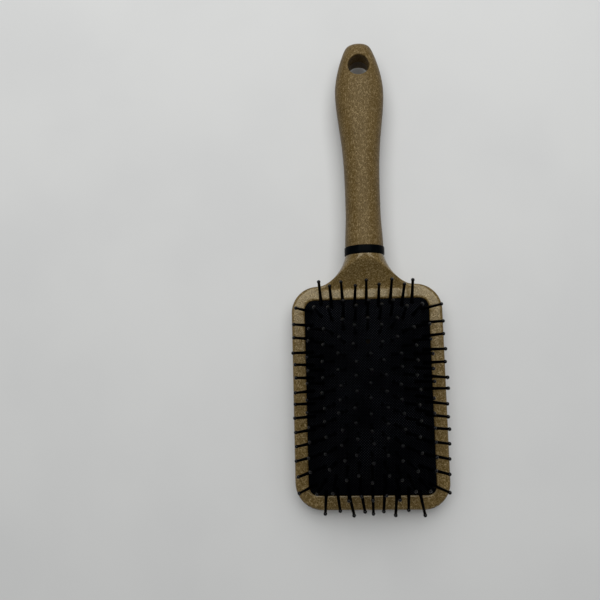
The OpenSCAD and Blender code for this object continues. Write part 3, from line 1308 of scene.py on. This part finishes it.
@dataclass
class PinField:
    """The pins: staggered columns of ball-tipped nylon, square to the crown but a little astray."""

    plan: CushionPlan
    columns: int = 11
    rows: int = 15
    side_margin: float = 4.4
    end_margin: float = 2.85
    column_gather: float = 0.082
    row_gather: float = 0.03
    side_gather: float = -0.05
    short_spread: float = 0.04
    end_lean: float = 5.0
    far_bunch: float = 11.0
    vent_index: int = 3
    length: float = 16.48
    base_r: float = 1.1
    root_r: float = 0.88
    shaft_r: float = 0.73
    ball_r: float = 0.99
    ball_degrees: tuple[float, ...] = (80, 115, 150)
    collar_h: float = 0.12
    base_h: float = 3.6
    flare_share: float = 0.3
    root_share: float = 1.15
    sunk: float = 0.45
    sides: int = 8
    stray: float = 2.8
    seed: int = 11

    @property
    def last(self) -> int:
        """Number of the outer column."""
        return (self.columns - 1) // 2

    def column_rows(self, column: int) -> int:
        """Gives how many pins a column has."""
        return self.rows - abs(column) % 2

    @staticmethod
    def gather(t: float, draw: float) -> float:
        """Draws places from -1 to 1 together towards their ends."""
        return t * (1 - draw * t * t) / (1 - draw)

    def place(self, column: int, row: int) -> Pair:
        """Gives a pin's place from the cushion's centre.

        Args:
            column: Number of its column, from the middle one.
            row: Number of its row, from the handle end.

        Returns:
            Its place across and along the cushion.
        """
        at_side = abs(column) == self.last
        spread_out = 1 + self.short_spread * (abs(column) % 2 and not at_side)
        t = spread_out * (self.column_rows(column) - 1 - 2 * row) / (self.rows - 1)
        draw = self.side_gather if at_side else self.row_gather
        across = self.gather(column / self.last, self.column_gather)
        x = (self.plan.half_w - self.side_margin) * across
        return x, (self.plan.half_l - self.end_margin) * self.gather(t, draw)

    def vent(self) -> Pair:
        """Gives the place of the vent, which takes the place of one pin."""
        return self.place(0, self.vent_index)

    def pins(self) -> Iterator[Pin]:
        """Goes through the pins, column by column.

        Yields:
            Each pin.
        """
        for column in range(-self.last, self.last + 1):
            count = self.column_rows(column)
            for row in range(count):
                if column == 0 and row == self.vent_index:
                    continue
                x, y = self.place(column, row)
                inward = self.last - abs(column)
                ring = min(inward, row, count - 1 - row)
                if ring == len(PIN_RINGS):
                    yield Pin(column, row, x, y, Body.CROWN, None)
                    continue
                if ring == inward:
                    side = Side.LEFT if column < 0 else Side.RIGHT
                else:
                    side = Side.HANDLE_END if ring == row else Side.FAR_END
                yield Pin(column, row, x, y, PIN_RINGS[ring], side)

    def master(self) -> bpy.types.Mesh:
        """Models one pin along +Z by turning its profile.

        Returns:
            Its mesh, in metres.
        """
        profile = [
            (self.base_r, -self.sunk),
            (self.base_r, self.collar_h),
            (mix(self.root_r, self.base_r, self.flare_share), self.base_h / 2),
            (self.root_r, self.root_share * self.base_h),
        ]
        neck = math.asin(self.shaft_r / self.ball_r)
        for angle in (neck, *map(math.radians, self.ball_degrees)):
            z = self.length - self.ball_r * math.cos(angle)
            profile.append((self.ball_r * math.sin(angle), z))
        profile.append((0.0, self.length + self.ball_r))
        points = [Vector((r, 0, z)) for r, z in profile]
        mesh = spun(points, Vector(), (0, 0, 1), self.sides, looped=False)
        rim = [edge for edge in mesh.edges if edge.is_boundary]
        bmesh.ops.holes_fill(mesh, edges=rim, sides=0)
        return mesh_data(mesh, "pin_master")

    def stance(self, pin: Pin, luck: random.Random) -> Matrix:
        """Stands a pin on the crown.

        Args:
            pin: The pin.
            luck: Source of its small lean and turn.

        Returns:
            The matrix that takes the master pin there, in metres.
        """
        normal = Vector(self.plan.normal(np.array(pin.x), np.array(pin.y)))
        turn_x = luck.uniform(-self.stray, self.stray)
        turn_y = luck.uniform(-self.stray, self.stray)
        if pin.body is Body.EDGE and pin.side in (Side.HANDLE_END, Side.FAR_END):
            turn_x -= self.end_lean
        if pin.body is Body.EDGE and pin.side is Side.FAR_END:
            turn_y -= self.far_bunch * math.sin(math.pi * pin.column / (self.last - 1))
        lean = Euler((math.radians(turn_x), math.radians(turn_y), 0)).to_matrix().to_4x4()
        roll = Matrix.Rotation(luck.uniform(0, math.tau), 4, "Z")
        upright = normal.to_track_quat("Z", "Y").to_matrix().to_4x4()
        return Matrix.Translation(self.plan.spot(pin.x, pin.y) * MM) @ lean @ upright @ roll

    def build(self) -> dict[str, tuple[Piece, Body]]:
        """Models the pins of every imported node.

        Returns:
            The piece and the body for each node.
        """
        master = self.master()
        luck = random.Random(self.seed)
        groups: dict[str, tuple[Body, list[Matrix]]] = {}
        for pin in self.pins():
            groups.setdefault(pin.node, (pin.body, []))[1].append(self.stance(pin, luck))
        made = {}
        for node, (body, stances) in groups.items():
            mesh = bmesh.new()
            for stance in stances:
                known = len(mesh.verts)
                mesh.from_mesh(master)
                mesh.verts.ensure_lookup_table()
                bmesh.ops.transform(mesh, matrix=stance, verts=mesh.verts[known:])
            made[node] = (finish_mesh(mesh, node.replace("pins_", "nylon_")), body)
        bpy.data.meshes.remove(master)
        return made


@dataclass
class Studio:
    """Floor, light and camera: pale paper and one broad window beyond the handle, in a dim room."""

    lens: float = 36.2
    sensor_w: float = 36.0
    eye: Triple = (-10.88, -47.85, 333.15)
    tilt: Triple = (5.624, 4.467, -1.318)
    clip_start: float = 0.01
    floor_w: float = 4.0
    world: Colour = (0.16, 0.161, 0.162, 1.0)
    window_at: Triple = (0, 0.82, 1.1)
    window_size: Pair = (1.5, 1.55)
    window_power: float = 23.6

    def floor(self) -> None:
        """Lays the paper."""
        mesh = bmesh.new()
        bmesh.ops.create_grid(mesh, x_segments=2, y_segments=2, size=self.floor_w / 2)
        floor = finish_mesh(mesh, "paper_floor")
        floor.data.materials.append(PALE_PAPER.make())

    def light(self) -> None:
        """Hangs the window, which faces straight down, and dims the room."""
        data = bpy.data.lights.new("window", "AREA")
        data.shape = "RECTANGLE"
        data.size, data.size_y = self.window_size
        data.energy = self.window_power
        lamp = link("window", data)
        lamp.location = self.window_at
        lamp.rotation_euler = Vector((0, 0, -1)).to_track_quat("-Z", "Y").to_euler()
        scene = bpy.context.scene
        scene.world = bpy.data.worlds.new("room")
        scene.world.use_nodes = True
        scene.world.node_tree.nodes["Background"].inputs["Color"].default_value = self.world
        scene.view_settings.view_transform = "Standard"

    def camera(self) -> None:
        """Sets up the camera."""
        data = bpy.data.cameras.new("camera")
        data.lens = self.lens
        data.sensor_width = self.sensor_w
        data.clip_start = self.clip_start
        camera = link("camera", data)
        camera.location = Vector(self.eye) * MM
        camera.rotation_euler = [math.radians(angle) for angle in self.tilt]
        bpy.context.scene.camera = camera

    def build(self) -> None:
        """Sets up the floor, the light and the camera."""
        self.floor()
        self.light()
        self.camera()


HEAD_STRAW = StrawPlastic(
    "head_straw",
    ground=(0.088, 0.0535, 0.0112, 1.0),
    pale=(0.36, 0.268, 0.13, 1.0),
    dark=(0.037, 0.0205, 0.004, 1.0),
    turns=((10, 3, 15), (-20, -4, 50), (15, 5, 88), (-10, -3, 124), (5, 4, 160)),
)
HANDLE_STRAW = StrawPlastic(
    "handle_straw",
    ground=(0.080, 0.048, 0.0108, 1.0),
    pale=(0.32, 0.238, 0.122, 1.0),
    dark=(0.036, 0.020, 0.0046, 1.0),
    turns=((10, 3, 40), (-20, -4, 68), (15, 5, 93), (-10, -3, 116), (5, 4, 142)),
    roughness=0.42,
    shine=0.16,
)
GLOSS_BLACK = Mottled(
    "gloss_black",
    colour=(0.0012, 0.0018, 0.0023, 1.0),
    cloudy=(0.003, 0.004, 0.005, 1.0),
    roughness=0.2,
    shine=0.012,
    cloud=(0.5, 3.0),
    cloud_fade=(0.5, 0.8),
    cloud_share=0.6,
    cloud_rough=0.1,
    grain=(1.0, 2.0),
    grain_units=(8.0, 0.4, 8.0),
    grain_rough=0.08,
    relief=(0.08, 0.03),
)
BLACK_NYLON = Mottled(
    "black_nylon",
    colour=(0.0005, 0.0005, 0.0006, 1.0),
    cloudy=(0.001, 0.001, 0.0012, 1.0),
    roughness=0.03,
    shine=0.17,
    cloud=(0.8, 3.0),
    cloud_fade=(0.4, 0.7),
    grain=(0.8, 3.0),
    grain_rough=0.03,
    relief=(0.05, 0.02),
)
PALE_PAPER = Mottled(
    "pale_paper",
    colour=(0.635, 0.64, 0.632, 1.0),
    cloudy=(0.61, 0.615, 0.61, 1.0),
    roughness=0.8,
    shine=0.2,
    cloud=(0.012, 3.0),
    cloud_fade=(0.35, 0.7),
    grain=(3.0, 2.0),
    grain_rough=0.1,
    relief=(0.1, 0.05),
)


def crown_joint() -> tuple[str, float]:
    """Finds the joint that presses the crown, and its travel in millimetres."""
    found = next(joint for joint in frame["joints"] if joint["child"] == Body.CROWN.value)
    return found["name"], found["range_m"][1] / MM


def main() -> None:
    """Builds and dresses the brush, then sets the studio round it."""
    logging.basicConfig(level=logging.INFO, format="%(name)s: %(message)s")
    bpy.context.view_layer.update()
    plan = CushionPlan(RIM_Z)
    head = PaddleHead(RIM_Z)
    pins = PinField(plan)
    cushion = Cushion(plan)

    dress(head.build(plan), HEAD_STRAW.make(), Slot.HEAD, Body.PADDLE, "paddle_head")
    dress(NeckRing().build(), GLOSS_BLACK.make(), Slot.RING, Body.PADDLE, "neck_ring")
    handle = Handle(head.axis_z).build()
    dress(handle, HANDLE_STRAW.make(), Slot.HANDLE, Body.PADDLE, "handle")
    rubber = cushion.build(pins.vent())
    dress(rubber, HatchedRubber("hatched_rubber").make(), Slot.RUBBER, Body.PADDLE, "cushion")
    cushion.soften(rubber, *crown_joint())
    nylon = BLACK_NYLON.make()
    for node, (piece, body) in pins.build().items():
        dress(piece, nylon, Slot.NYLON, body, node)
    Studio().build()


if __name__ == "__main__":
    main()
